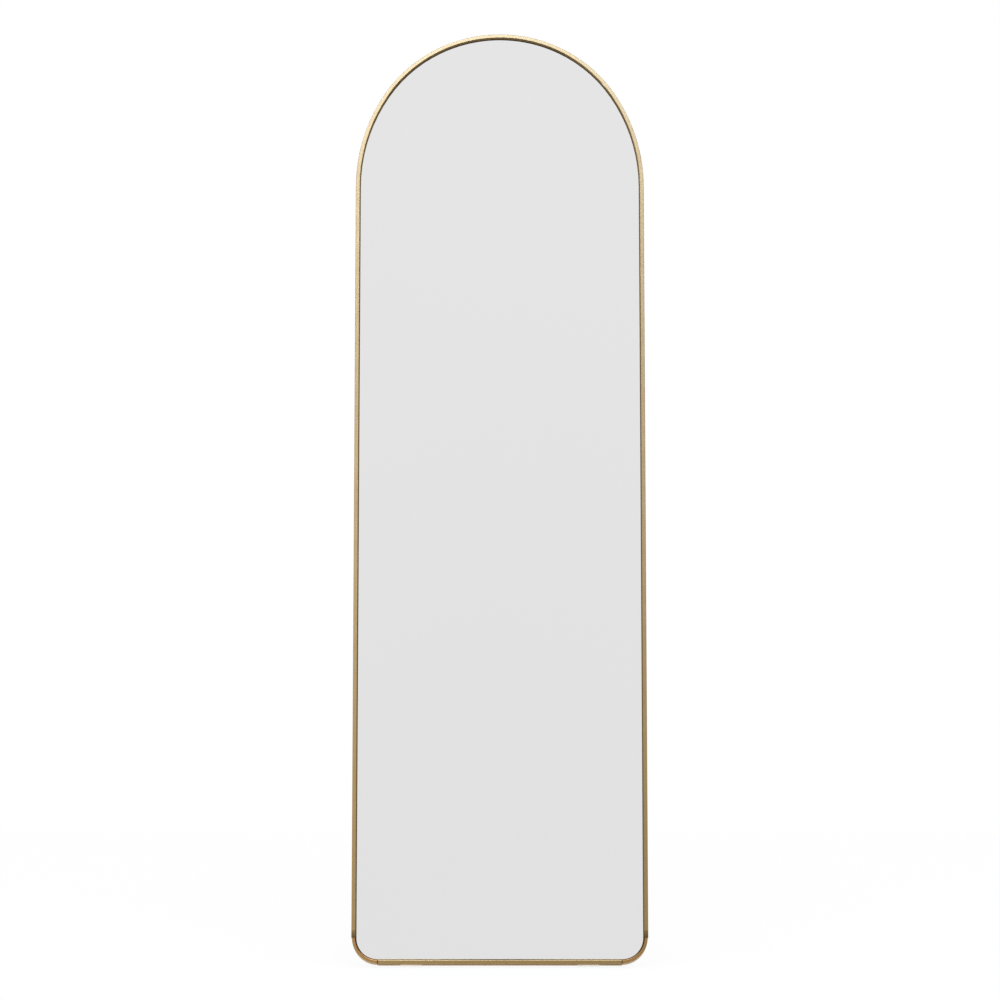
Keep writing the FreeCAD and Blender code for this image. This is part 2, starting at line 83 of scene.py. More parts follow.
# The floor shows white through this share of its shading, seen straight or in metal and glass.
FLOOR_SEEN = 0.9
FLOOR_MIRRORED = 0.3
FLOOR_WHITE = 1.01

# Brightness of the studio that metal and glass mirror, where 1 is white.
DARK_END = 0.08
BESIDE_CAMERA = 0.3
WALL_LOW = 0.85
WALL_HIGH = 0.885
UNLIT_CORNER = 0.05
LEFT_WALL = 0.85
RIGHT_WALL = 0.62
CEILING = (0.51, 0.56, 0.63)
EVEN_LIGHT = 0.9

# Where one part of the studio fades into the next, by the direction of a ray of length 1: how
# high it points, how far to a side and how far behind the mirror.
CAMERA_SIDES = (0.48, 0.68)
WALL_SHADES = (0.27, 0.47)
WALL_FOOT = (0.198, 0.27)
CEILING_FOOT = (0.6, 0.8)
CORNER_FOOT = (0.5, 0.65)
CORNER_SIDES = (0.35, 0.55)
LEFT_TO_RIGHT = (-0.6, 0.6)
SIDE_WALLS = (0.5, 0.85)
BACKDROP = (0.05, 0.35)

# Lamps: place and size in metres, and colour.
LAMP_TARGET = (0.0, 0.0, 0.8)
FRONT_LAMP_PLACE = (0.0, -3.2, 4.6)
FRONT_LAMP_SIZE = (3.0, 2.0)
FRONT_LAMP_COLOUR = (1.0, 1.0, 1.0)
SOFT_BOX_PLACE = (0.0, -8.95, 8.8)
SOFT_BOX_SIZE = (12.2, 3.5)
SOFT_BOX_COLOUR = (0.5, 0.665, 1.0)

# Camera: sensor width in millimetres, and the shift of the picture as a share of it.
SENSOR_WIDTH = 36.0
CAMERA_SHIFT_X = 0.0002
CAMERA_SHIFT_Y = -0.00035

# Inputs of a Mix node that blends colours.
COLOUR_A = 6
COLOUR_B = 7

# A noise texture seldom leaves this range.
NOISE_LOW = 0.3
NOISE_HIGH = 0.7

# A wave texture turns this many radians per unit of its scaled coordinate.
WAVE_RADIANS = 20.0


# Colours and nodes


def linear(hex_colour):
    """Turn an sRGB hex colour such as "C9AE84" into linear red, green and blue."""
    channels = []
    for start in (0, 2, 4):
        value = int(hex_colour[start : start + 2], 16) / 255
        channels.append(value / 12.92 if value <= 0.04045 else ((value + 0.055) / 1.055) ** 2.4)
    return tuple(channels)


def opaque(colour):
    """A colour with full alpha, as shader sockets take it."""
    return (colour[0], colour[1], colour[2], 1.0)


def grey(value):
    """An even grey with full alpha."""
    return opaque((value, value, value))


def shaded(colour, share):
    """The same colour, lighter or darker."""
    return tuple(channel * share for channel in colour)


def per_metre(millimetres):
    """Texture scale that gives a pattern of this size, for coordinates in metres."""
    return 1000.0 / millimetres


def feed(tree, socket, source):
    """Set a socket to a value, or link it to an output or to a node's first output in use."""
    if isinstance(source, bpy.types.Node):
        source = next(output for output in source.outputs if output.enabled)
    if isinstance(source, bpy.types.NodeSocket):
        tree.links.new(source, socket)
    else:
        socket.default_value = source


def add_node(tree, kind, sockets=None, **settings):
    """Add one node. Settings are its own properties; sockets says what feeds each input."""
    node = tree.nodes.new(kind)
    for name, value in settings.items():
        setattr(node, name, value)
    for name, source in (sockets or {}).items():
        feed(tree, node.inputs[name], source)
    return node


def new_material(name, metallic, ior=None):
    """A material with its shader and output joined, and the plain values of its kind."""
    material = bpy.data.materials.new(name)
    material.use_nodes = True
    tree = material.node_tree
    tree.nodes.clear()
    shader = add_node(tree, "ShaderNodeBsdfPrincipled", {"Metallic": metallic})
    if ior is not None:
        shader.inputs["IOR"].default_value = ior
    add_node(tree, "ShaderNodeOutputMaterial", {"Surface": shader})
    return material, tree, shader


def object_place(tree, stretch=(1.0, 1.0, 1.0)):
    """Place on the object in metres, scaled along each axis to stretch a pattern."""
    place = add_node(tree, "ShaderNodeTexCoord").outputs["Object"]
    return add_node(tree, "ShaderNodeMapping", {"Vector": place, "Scale": stretch})


def mirror_place(tree):
    """Across, depth and height on the mirror in metres, as if it stood upright on its edge."""
    place = add_node(tree, "ShaderNodeTexCoord").outputs["Object"]
    upright = add_node(
        tree,
        "ShaderNodeVectorRotate",
        {"Vector": place, "Center": FOOT, "Angle": LEAN},
        rotation_type="X_AXIS",
    )
    lifted = add_node(tree, "ShaderNodeVectorMath", {0: upright, 1: -FOOT}, operation="ADD")
    return add_node(tree, "ShaderNodeSeparateXYZ", {"Vector": lifted})


def fade(tree, value, border, before, after):
    """Change softly from one colour to another while a value crosses a border."""
    start, end = border
    share = add_node(
        tree,
        "ShaderNodeMapRange",
        {"Value": value, "From Min": start, "From Max": end},
        interpolation_type="SMOOTHSTEP",
    )
    return add_node(
        tree, "ShaderNodeMix", {0: share, COLOUR_A: before, COLOUR_B: after}, data_type="RGBA"
    )


def on_lip(tree, place, share):
    """Keep a share on the lip in front of the glass, and drop it on the rest of the frame."""
    front = add_node(
        tree, "ShaderNodeMath", {0: place.outputs["Y"], 1: LIP_BACK}, operation="LESS_THAN"
    )
    return add_node(tree, "ShaderNodeMath", {0: share, 1: front}, operation="MULTIPLY")


def painted_glass_shade(tree, place, line, shade_reach=0.0):
    """Painted shade: 1 on the lip's inner wall and the steep end of its rounding, 0 on the rest of
    the frame.

    The painted shade reaches further up the rounding along the bottom rail, over its highlight.
    """
    height = place.outputs["Z"]
    middle = add_node(
        tree, "ShaderNodeClamp", {"Value": height, "Min": ELBOW_UP, "Max": SPRING_UP}
    )
    level = add_node(
        tree, "ShaderNodeMath", {0: place.outputs["X"], 1: -1.0}, operation="MULTIPLY"
    )
    rise = add_node(tree, "ShaderNodeMath", {0: middle, 1: height}, operation="SUBTRACT")
    inward = add_node(tree, "ShaderNodeCombineXYZ", {"X": level, "Z": rise})
    inward = add_node(tree, "ShaderNodeVectorMath", {0: inward}, operation="NORMALIZE")
    facing = add_node(
        tree,
        "ShaderNodeVectorRotate",
        {"Vector": add_node(tree, "ShaderNodeNewGeometry").outputs["Normal"], "Angle": LEAN},
        rotation_type="X_AXIS",
    )
    turned = add_node(
        tree, "ShaderNodeVectorMath", {0: facing, 1: inward}, operation="DOT_PRODUCT"
    )
    low = add_node(tree, "ShaderNodeMath", {0: height, 1: BAR_LIP_TOP}, operation="LESS_THAN")
    reached = add_node(
        tree, "ShaderNodeMath", {0: low, 1: shade_reach, 2: turned}, operation="MULTIPLY_ADD"
    )
    start, end = line
    steep = add_node(
        tree,
        "ShaderNodeMapRange",
        {"Value": reached, "From Min": start, "From Max": end},
        interpolation_type="SMOOTHSTEP",
    )
    return on_lip(tree, place, steep)


def painted_side_and_joint_light(tree, place, joint_shade):
    """Painted light and shade across the mirror, and painted shade beside each joint at the bottom.
    """
    # Painted light: lighter on the left, a shade deeper towards the right.
    drift = add_node(
        tree,
        "ShaderNodeMapRange",
        {
            "Value": place.outputs["X"],
            "From Min": -HALF_WIDTH,
            "From Max": HALF_WIDTH,
            "To Min": PAINTED_LIGHT_LEFT,
            "To Max": PAINTED_LIGHT_RIGHT,
        },
    )
    # Painted shade: half as light beside each joint of the bottom rail.
    inner, outer = joint_shade
    aside = add_node(tree, "ShaderNodeMath", {0: place.outputs["X"]}, operation="ABSOLUTE")
    beyond = add_node(tree, "ShaderNodeMath", {0: aside, 1: inner}, operation="GREATER_THAN")
    within = add_node(tree, "ShaderNodeMath", {0: aside, 1: outer}, operation="LESS_THAN")
    low = add_node(
        tree, "ShaderNodeMath", {0: place.outputs["Z"], 1: BAR_LIP_TOP}, operation="LESS_THAN"
    )
    edge = add_node(tree, "ShaderNodeMath", {0: beyond, 1: within}, operation="MULTIPLY")
    edge = add_node(tree, "ShaderNodeMath", {0: edge, 1: low}, operation="MULTIPLY")
    kept = add_node(
        tree, "ShaderNodeMath", {0: edge, 1: -JOINT_SHADE_LOSS, 2: 1.0}, operation="MULTIPLY_ADD"
    )
    return add_node(tree, "ShaderNodeMath", {0: drift, 1: kept}, operation="MULTIPLY")


def finish_gold(tree, shader, gold, light, line, line_colour):
    """Give the shader the gold at its painted light, with the painted line of shade along the
    glass.
    """
    lit = add_node(tree, "ShaderNodeVectorMath", {0: gold, "Scale": light}, operation="SCALE")
    lined = add_node(
        tree,
        "ShaderNodeMix",
        {0: line, COLOUR_A: lit, COLOUR_B: opaque(line_colour)},
        data_type="RGBA",
    )
    feed(tree, shader.inputs["Base Color"], lined)
    # Light that grazes the coloured layer goes further through it, so the edges stay gold.
    shader.inputs["Specular Tint"].default_value = opaque(GRAZING_TINT)


def patchy(tree, place, light, dark, size_mm):
    """Blend two near tones in soft patches of a real size."""
    patches = add_node(
        tree, "ShaderNodeTexNoise", {"Vector": place, "Scale": per_metre(size_mm), "Detail": 4.0}
    )
    return add_node(
        tree,
        "ShaderNodeMix",
        {0: patches.outputs["Fac"], COLOUR_A: opaque(dark), COLOUR_B: opaque(light)},
        data_type="RGBA",
    )


def vary_colour(tree, shader, place, light, dark, size_mm):
    """Give the shader two near tones in soft patches of a real size."""
    feed(tree, shader.inputs["Base Color"], patchy(tree, place, light, dark, size_mm))


def vary_roughness(tree, shader, place, low, high, size_mm):
    """Let the gloss drift between two values in patches of a real size."""
    patches = add_node(
        tree, "ShaderNodeTexNoise", {"Vector": place, "Scale": per_metre(size_mm), "Detail": 6.0}
    )
    spread = add_node(
        tree,
        "ShaderNodeMapRange",
        {
            "Value": patches.outputs["Fac"],
            "From Min": NOISE_LOW,
            "From Max": NOISE_HIGH,
            "To Min": low,
            "To Max": high,
        },
    )
    feed(tree, shader.inputs["Roughness"], spread)


def add_grain(tree, shader, place, size_mm, depth_mm):
    """Raise a fine grain of a real size and depth."""
    grain = add_node(
        tree, "ShaderNodeTexNoise", {"Vector": place, "Scale": per_metre(size_mm), "Detail": 3.0}
    )
    bump = add_node(
        tree, "ShaderNodeBump", {"Height": grain.outputs["Fac"], "Distance": depth_mm / 1000.0}
    )
    feed(tree, shader.inputs["Normal"], bump)


# Materials


def anodised_aluminium(colours):
    """Bead-blasted extrusion, anodised champagne gold: a satin metal with soft, wide highlights."""
    material, tree, shader = new_material("anodised_champagne_aluminium", metallic=1.0)
    gold = tuple(colours.frame_gold)
    # The dye takes a little unevenly along a length, about a hand's width at a time.
    tones = patchy(tree, object_place(tree), shaded(gold, 1.04), shaded(gold, 0.96), size_mm=90.0)
    place = mirror_place(tree)
    # Painted light: the gold is tinted warmer and deeper towards the bottom, and paler above.
    painted_warmth = fade(tree, place.outputs["Z"], PAINTED_WARM_HEIGHTS, grey(1.0), opaque(PAINTED_WARM_TONE))
    tones_painted_warm = add_node(
        tree,
        "ShaderNodeMix",
        {0: 1.0, COLOUR_A: tones, COLOUR_B: painted_warmth},
        data_type="RGBA",
        blend_type="MULTIPLY",
    )
    # Painted shade: a darker band just above each elbow, darkest at the elbow and lighter upwards.
    above = add_node(
        tree, "ShaderNodeMath", {0: place.outputs["Z"], 1: RAIL_END}, operation="SUBTRACT"
    )
    seam_shaded = add_node(
        tree,
        "ShaderNodeMapRange",
        {
            "Value": above,
            "From Min": 0.0,
            "From Max": SEAM_SHADE_BAND,
            "To Min": SEAM_SHADE_LOW,
            "To Max": SEAM_SHADE_HIGH,
        },
    )
    over = add_node(
        tree,
        "ShaderNodeMapRange",
        {
            "Value": above,
            "From Min": SEAM_SHADE_BAND - SEAM_SHADE_BLUR,
            "From Max": SEAM_SHADE_BAND + SEAM_SHADE_BLUR,
        },
        interpolation_type="SMOOTHSTEP",
    )
    under = add_node(tree, "ShaderNodeMath", {0: above, 1: 0.0}, operation="LESS_THAN")
    clear = add_node(tree, "ShaderNodeMath", {0: over, 1: under}, operation="MAXIMUM")
    seam_light = add_node(tree, "ShaderNodeMath", {0: seam_shaded, 1: clear}, operation="MAXIMUM")
    # Painted light and shade: the band above the elbows, the side-to-side light and the shade at
    # the joints.
    light = add_node(
        tree,
        "ShaderNodeMath",
        {0: seam_light, 1: painted_side_and_joint_light(tree, place, RAIL_JOINT_SHADE)},
        operation="MULTIPLY",
    )
    # Painted shade: a dark line along the glass, reaching further up the bottom rail's rounding.
    line = painted_glass_shade(tree, place, RAIL_SHADE_LINE, BAR_SHADE_REACH)
    finish_gold(tree, shader, tones_painted_warm, light, line, colours.glass_shade_brown)
    vary_roughness(tree, shader, object_place(tree), low=0.24, high=0.3, size_mm=35.0)
    # Blasting leaves pits of about 0.1 mm; drawn at 0.5 mm so that they show.
    add_grain(tree, shader, object_place(tree), size_mm=0.5, depth_mm=0.001)
    return material


def plated_zinc_casting(colours):
    """Gold-plated zinc casting: smoother than the extrusion, and redder inside the bend."""
    material, tree, shader = new_material("gold_plated_zinc_casting", metallic=1.0)
    copper = tuple(colours.elbow_copper)
    place = mirror_place(tree)
    aside = add_node(tree, "ShaderNodeMath", {0: place.outputs["X"]}, operation="ABSOLUTE")
    across = add_node(tree, "ShaderNodeMath", {0: aside, 1: ELBOW_ASIDE}, operation="SUBTRACT")
    up = add_node(
        tree, "ShaderNodeMath", {0: place.outputs["Z"], 1: ELBOW_UP}, operation="SUBTRACT"
    )
    spoke = add_node(tree, "ShaderNodeCombineXYZ", {"X": across, "Z": up})
    reach = add_node(tree, "ShaderNodeVectorMath", {0: spoke}, operation="LENGTH")
    # The plating is thicker and redder inside the bend, over about 3 mm.
    outer, inner = COPPER_REACH
    inside = add_node(
        tree,
        "ShaderNodeMapRange",
        {"Value": reach, "From Min": outer, "From Max": inner},
        interpolation_type="SMOOTHSTEP",
    )
    tone = add_node(
        tree,
        "ShaderNodeMix",
        {
            0: on_lip(tree, place, inside),
            COLOUR_A: opaque(colours.elbow_gold),
            COLOUR_B: opaque(copper),
        },
        data_type="RGBA",
    )
    # The current is uneven round a casting, and so is the plating, a fingertip's width at a time.
    uneven = patchy(tree, object_place(tree), grey(PLATING_LIGHT), grey(PLATING_DARK), size_mm=14.0)
    plated = add_node(
        tree,
        "ShaderNodeMix",
        {0: 1.0, COLOUR_A: tone, COLOUR_B: uneven},
        data_type="RGBA",
        blend_type="MULTIPLY",
    )
    # Painted light and shade: lighter on the left, darker on the right and beside the joint.
    light = painted_side_and_joint_light(tree, place, ELBOW_JOINT_SHADE)
    # Painted shade along the glass, in a darkened copper.
    line = painted_glass_shade(tree, place, ELBOW_SHADE_LINE)
    finish_gold(tree, shader, plated, light, line, shaded(copper, COPPER_SHADE_LIGHT))
    vary_roughness(tree, shader, object_place(tree), low=0.13, high=0.18, size_mm=9.0)
    # Polishing before the plating leaves a slow ripple, as on most castings.
    add_grain(tree, shader, object_place(tree), size_mm=4.0, depth_mm=0.02)
    return material


def silvered_glass(colours):
    """Float glass silvered on its back: a sharp, even reflection under clear gloss."""
    material, tree, shader = new_material("silvered_float_glass", metallic=1.0)
    silver = tuple(colours.mirror_silver)
    vary_colour(tree, shader, object_place(tree), silver, shaded(silver, 0.985), size_mm=400.0)
    # Wiping leaves a haze in long soft streaks down the glass.
    streaks = object_place(tree, (1.0, 1.0, 0.25))
    vary_roughness(tree, shader, streaks, low=0.004, high=0.018, size_mm=60.0)
    # Float glass is flat to a few thousandths of a millimetre over a hand's width.
    add_grain(tree, shader, object_place(tree), size_mm=180.0, depth_mm=0.004)
    shader.inputs["Coat Weight"].default_value = 1.0
    shader.inputs["Coat Roughness"].default_value = 0.0
    shader.inputs["Coat IOR"].default_value = 1.52
    return material


def foam_tape():
    """Closed-cell polyethylene tape, black: dull, with fine open cells at its cut edge."""
    material, tree, shader = new_material("black_polyethylene_tape", metallic=0.0, ior=1.51)
    black = linear("1B1A19")
    vary_colour(tree, shader, object_place(tree), shaded(black, 1.3), black, size_mm=3.0)
    vary_roughness(tree, shader, object_place(tree), low=0.75, high=0.95, size_mm=2.0)
    add_grain(tree, shader, object_place(tree), size_mm=0.5, depth_mm=0.05)
    return material


def safety_film():
    """Woven polyethylene film glued to the back of the mirror: a grey sheet with a fine weave."""
    material, tree, shader = new_material("grey_woven_film", metallic=0.0, ior=1.51)
    place = object_place(tree)
    # Tapes of the weave lie 2.5 mm apart.
    pitch = per_metre(2.5) * math.tau / WAVE_RADIANS
    threads, picks = (
        add_node(
            tree,
            "ShaderNodeTexWave",
            {"Vector": place, "Scale": pitch, "Distortion": 0.3},
            bands_direction=axis,
        )
        for axis in ("X", "Z")
    )
    weave = add_node(
        tree,
        "ShaderNodeMath",
        {0: threads.outputs["Fac"], 1: picks.outputs["Fac"]},
        operation="MULTIPLY",
    )
    tones = add_node(
        tree,
        "ShaderNodeMix",
        {0: weave, COLOUR_A: opaque(linear("6F7072")), COLOUR_B: opaque(linear("8E8F90"))},
        data_type="RGBA",
    )
    feed(tree, shader.inputs["Base Color"], tones)
    vary_roughness(tree, shader, place, low=0.35, high=0.5, size_mm=10.0)
    return material


def packing_foam():
    """Expanded polyethylene sheet, white: soft and matt, with cells of about 1.5 mm."""
    material, tree, shader = new_material("white_expanded_foam", metallic=0.0, ior=1.51)
    place = object_place(tree)
    # The cells stand 0.3 mm proud.
    cells = add_node(tree, "ShaderNodeTexVoronoi", {"Vector": place, "Scale": per_metre(1.5)})
    bump = add_node(
        tree, "ShaderNodeBump", {"Height": cells.outputs["Distance"], "Distance": 0.0003}
    )
    feed(tree, shader.inputs["Normal"], bump)
    vary_colour(tree, shader, place, linear("F1F1EE"), linear("DEDEDA"), size_mm=20.0)
    vary_roughness(tree, shader, place, low=0.7, high=0.9, size_mm=5.0)
    return material


def painted_hardboard(colours):
    """Hardboard, painted dark brown on its smooth side: a low sheen over pressed fibres."""
    material, tree, shader = new_material("painted_hardboard", metallic=0.0, ior=1.5)
    brown = tuple(colours.board_brown)
    place = object_place(tree)
    fibres = object_place(tree, (1.0, 1.0, 0.35))
    vary_colour(tree, shader, fibres, shaded(brown, 1.35), shaded(brown, 0.8), size_mm=5.0)
    vary_roughness(tree, shader, place, low=0.42, high=0.62, size_mm=40.0)
    # Pressed fibres are 2 to 4 mm long and a few hundredths of a millimetre proud.
    add_grain(tree, shader, fibres, size_mm=1.6, depth_mm=0.06)
    return material


def zinc_plated_steel():
    """Stamped steel, zinc plated and clear passivated: a cool grey satin with a faint blue cast."""
    material, tree, shader = new_material("zinc_plated_steel", metallic=1.0)
    vary_colour(tree, shader, object_place(tree), linear("C9CCD2"), linear("A9ADB2"), size_mm=12.0)
    vary_roughness(tree, shader, object_place(tree), low=0.28, high=0.42, size_mm=6.0)
    add_grain(tree, shader, object_place(tree), size_mm=1.2, depth_mm=0.01)
    return material


def zinc_plated_screws():
    """Cold-headed steel, zinc plated and barrel polished: brighter than the stampings."""
    material, tree, shader = new_material("zinc_plated_fasteners", metallic=1.0)
    vary_colour(tree, shader, object_place(tree), linear("D2D4D6"), linear("B2B5B8"), size_mm=3.0)
    vary_roughness(tree, shader, object_place(tree), low=0.2, high=0.34, size_mm=1.5)
    add_grain(tree, shader, object_place(tree), size_mm=0.6, depth_mm=0.008)
    return material


def mill_aluminium():
    """Extruded aluminium left as it comes from the die: grey with drawn lines along its length."""
    material, tree, shader = new_material("mill_finish_aluminium", metallic=1.0)
    drawn = object_place(tree, (0.02, 1.0, 1.0))
    vary_colour(tree, shader, object_place(tree), linear("C7C8C9"), linear("B4B6B8"), size_mm=60.0)
    vary_roughness(tree, shader, drawn, low=0.3, high=0.46, size_mm=1.0)
    # Die lines are about 0.2 mm apart; drawn at 0.8 mm so that they show.
    add_grain(tree, shader, drawn, size_mm=0.8, depth_mm=0.02)
    return material


def natural_nylon():
    """Moulded nylon 6, undyed: a milky white with a soft gloss."""
    material, tree, shader = new_material("natural_nylon", metallic=0.0, ior=1.53)
    vary_colour(tree, shader, object_place(tree), linear("EDEAE0"), linear("DEDACD"), size_mm=4.0)
    vary_roughness(tree, shader, object_place(tree), low=0.35, high=0.5, size_mm=2.0)
    shader.inputs["Subsurface Weight"].default_value = 0.2
    shader.inputs["Subsurface Scale"].default_value = 0.001
    return material


def black_nylon():
    """Glass-filled nylon, moulded black: a low sheen with a fine spark-eroded texture."""
    material, tree, shader = new_material("moulded_black_nylon", metallic=0.0, ior=1.53)
    vary_colour(tree, shader, object_place(tree), linear("2B2B2C"), linear("1E1E1F"), size_mm=8.0)
    vary_roughness(tree, shader, object_place(tree), low=0.42, high=0.58, size_mm=4.0)
    # The mould's texture is about 0.2 mm; drawn at 0.6 mm so that it shows.
    add_grain(tree, shader, object_place(tree), size_mm=0.6, depth_mm=0.03)
    return material


def lacquered_steel_tube(colours):
    """Welded steel tube, sprayed champagne gold: metal pigment under clear lacquer."""
    material, tree, shader = new_material("gold_lacquered_steel", metallic=0.85)
    gold = tuple(colours.stand_gold)
    place = object_place(tree)
    vary_colour(tree, shader, place, shaded(gold, 1.06), shaded(gold, 0.92), size_mm=25.0)
    vary_roughness(tree, shader, place, low=0.36, high=0.46, size_mm=8.0)
    # Sprayed lacquer dries to an orange peel of about 1.5 mm.
    add_grain(tree, shader, place, size_mm=1.5, depth_mm=0.015)
    shader.inputs["Coat Weight"].default_value = 0.4
    shader.inputs["Coat Roughness"].default_value = 0.2
    return material


def black_rubber():
    """Moulded black rubber: dull, greyed where it has been handled and stood on."""
    material, tree, shader = new_material("moulded_black_rubber", metallic=0.0, ior=1.52)
    vary_colour(tree, shader, object_place(tree), linear("343332"), linear("1F1E1E"), size_mm=7.0)
    vary_roughness(tree, shader, object_place(tree), low=0.62, high=0.85, size_mm=4.0)
    add_grain(tree, shader, object_place(tree), size_mm=0.7, depth_mm=0.04)
    return material


def clear_rubber():
    """Clear soft polyurethane pad: lets the light through, with a faintly dull moulded skin."""
    material, tree, shader = new_material("clear_polyurethane", metallic=0.0, ior=1.5)
    vary_colour(tree, shader, object_place(tree), linear("FBFBF8"), linear("F4F4F0"), size_mm=6.0)
    vary_roughness(tree, shader, object_place(tree), low=0.08, high=0.16, size_mm=3.0)
    shader.inputs["Transmission Weight"].default_value = 1.0
    return material


def dress(material, *nodes):
    """Give CAD nodes this material in every slot they have."""
    for name in nodes:
        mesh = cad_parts[name].data
        if not mesh.materials:
            mesh.materials.append(material)
        for index in range(len(mesh.materials)):
            mesh.materials[index] = material


# Sizes and colours that a user would change


class MirrorColours(bpy.types.PropertyGroup):
    frame_gold: FloatVectorProperty(
        name="Frame",
        description="Champagne gold of the anodised rails",
        subtype="COLOR",
        size=3,
        min=0.0,
        max=1.0,
        default=linear("BCA073"),
    )
    elbow_gold: FloatVectorProperty(
        name="Elbows",
        description="Gold of the cast corner elbows",
        subtype="COLOR",
        size=3,
        min=0.0,
        max=1.0,
        default=linear("B89561"),
    )
    elbow_copper: FloatVectorProperty(
        name="Inside of the elbows",
        description="Redder tone of the plating inside the bend",
        subtype="COLOR",
        size=3,
        min=0.0,
        max=1.0,
        default=linear("A66E44"),
    )
    # Painted shade: the colour of the dark line painted along the glass.
    glass_shade_brown: FloatVectorProperty(
        name="Glass line",
        description="Dark line where the frame meets the glass",
        subtype="COLOR",
        size=3,
        min=0.0,
        max=1.0,
        default=linear("625036"),
    )
    stand_gold: FloatVectorProperty(
        name="Stand",
        description="Gold of the lacquered steel stand",
        subtype="COLOR",
        size=3,
        min=0.0,
        max=1.0,
        default=linear("C9AC7E"),
    )
    mirror_silver: FloatVectorProperty(
        name="Silver",
        description="Tint of the mirror's reflection",
        subtype="COLOR",
        size=3,
        min=0.0,
        max=1.0,
        default=linear("F2F2F2"),
    )
    board_brown: FloatVectorProperty(
        name="Back board",
        description="Paint of the hardboard behind the mirror",
        subtype="COLOR",
        size=3,
        min=0.0,
        max=1.0,
        default=linear("3A332D"),
    )


class MirrorStudio(bpy.types.PropertyGroup):
    camera_distance: FloatProperty(
        name="Camera distance",
        description="From the camera to the front edge of the bottom rail, along the floor",
        default=7.809,
        min=1.0,
        unit="LENGTH",
    )
    camera_height: FloatProperty(
        name="Camera height",
        description="Height of the camera above the floor",
        default=0.7876,
        min=0.0,
        unit="LENGTH",
    )
    camera_lens: FloatProperty(
        name="Lens",
        description="Focal length on a sensor 36 mm wide",
        default=167.2,
        min=10.0,
        unit="CAMERA",
    )
    floor_size: FloatProperty(
        name="Floor",
        description="Width of the floor",
        default=6.0,
        min=2.0,
        unit="LENGTH",
    )
    front_lamp_power: FloatProperty(
        name="Front lamp",
        description="Power of the broad lamp above the camera",
        default=85.0,
        min=0.0,
        unit="POWER",
    )
    soft_box_power: FloatProperty(
        name="Soft box",
        description="Power of the large far soft box that metal reflects",
        default=1050.0,
        min=0.0,
        unit="POWER",
    )


# Operators


class MIRROR_OT_rails(bpy.types.Operator):
    """Anodise the two straight sides, the arch and the bottom rail"""

    bl_idname = "floor_mirror.rails"
    bl_label = "Frame Rails"

    def execute(self, context):
        dress(anodised_aluminium(context.scene.mirror_colours), "arch_rail", "bottom_rail")
        return {"FINISHED"}


class MIRROR_OT_elbows(bpy.types.Operator):
    """Plate the two cast corner elbows"""

    bl_idname = "floor_mirror.elbows"
    bl_label = "Corner Elbows"

    def execute(self, context):
        dress(plated_zinc_casting(context.scene.mirror_colours), "left_corner", "right_corner")
        return {"FINISHED"}


class MIRROR_OT_glass(bpy.types.Operator):
    """Silver the mirror glass"""

    bl_idname = "floor_mirror.glass"
    bl_label = "Mirror Glass"

    def execute(self, context):
        dress(silvered_glass(context.scene.mirror_colours), "mirror_glass")
        return {"FINISHED"}


class MIRROR_OT_sheets(bpy.types.Operator):
    """Finish the tape, film, foam and back board that lie behind the lip"""

    bl_idname = "floor_mirror.sheets"
    bl_label = "Sheets"

    def execute(self, context):
        dress(foam_tape(), "glazing_tape")
        dress(safety_film(), "safety_film")
        dress(packing_foam(), "foam_sheet")
        dress(painted_hardboard(context.scene.mirror_colours), "back_board")
        return {"FINISHED"}


class MIRROR_OT_fittings(bpy.types.Operator):
    """Finish the brackets, hangers and brace behind the frame"""

    bl_idname = "floor_mirror.fittings"
    bl_label = "Back Fittings"

    def execute(self, context):
        dress(zinc_plated_steel(), "left_bracket", "right_bracket", "left_hanger", "right_hanger")
        dress(mill_aluminium(), "back_brace")
        return {"FINISHED"}


class MIRROR_OT_fasteners(bpy.types.Operator):
    """Finish the screws, rivets and washers"""

    bl_idname = "floor_mirror.fasteners"
    bl_label = "Screws and Rivets"

    def execute(self, context):
        screws = ("corner_screws", "bracket_screws", "brace_screws", "hanger_screws")
        rivets = ("left_pivot_rivet", "right_pivot_rivet", "leg_rivets")
        dress(zinc_plated_screws(), *screws, *rivets)
        dress(natural_nylon(), "pivot_washers")
        return {"FINISHED"}


class MIRROR_OT_stand(bpy.types.Operator):
    """Finish the folding stand: its tube and its two moulded leg ends"""

    bl_idname = "floor_mirror.stand"
    bl_label = "Folding Stand"

    def execute(self, context):
        dress(lacquered_steel_tube(context.scene.mirror_colours), "stand_tube")
        dress(black_nylon(), "left_leg_end", "right_leg_end")
        return {"FINISHED"}


class MIRROR_OT_feet(bpy.types.Operator):
    """Finish the rubber sleeves of the stand and the clear pads of the frame"""

    bl_idname = "floor_mirror.feet"
    bl_label = "Feet"

    def execute(self, context):
        dress(black_rubber(), "left_foot_sleeve", "right_foot_sleeve")
        dress(clear_rubber(), "left_foot_pad", "right_foot_pad")
        return {"FINISHED"}


# Studio


